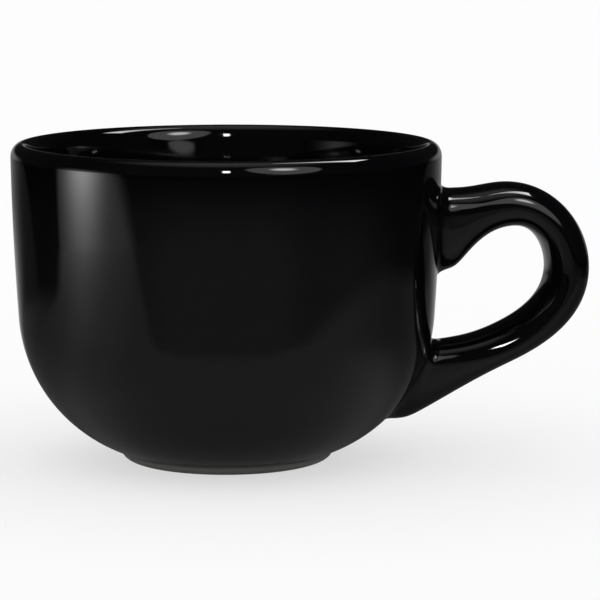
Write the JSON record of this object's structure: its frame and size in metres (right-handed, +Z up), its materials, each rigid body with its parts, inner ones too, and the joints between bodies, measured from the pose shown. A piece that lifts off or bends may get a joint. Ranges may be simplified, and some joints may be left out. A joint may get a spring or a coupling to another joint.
{
  "type": "latte cup",
  "caption": "Wide round-bellied latte cup of black glazed stoneware on a small foot ring, with a thick rounded lip and a looped strap handle stuck on with slip.",
  "frame": {"origin": "on the table, under the middle of the whole cup with its handle", "axes": "+Z up along the cup's axis, +X towards the handle, +Y across the handle's upright plane of symmetry"},
  "size_m": [0.1465, 0.1076, 0.0802],
  "materials": {
    "body_glaze": "glossy black glaze over stoneware, wiped off the foot ring's resting face",
    "handle_glaze": "glossy black glaze over cast stoneware",
    "slip_glaze": "glossy black glaze pooled over the slip fillet"
  },
  "bodies": {
    "root": {"cup_body": "body_glaze", "handle": "handle_glaze", "upper_slip_joint": "slip_glaze", "lower_slip_joint": "slip_glaze"}
  },
  "joints": []
}
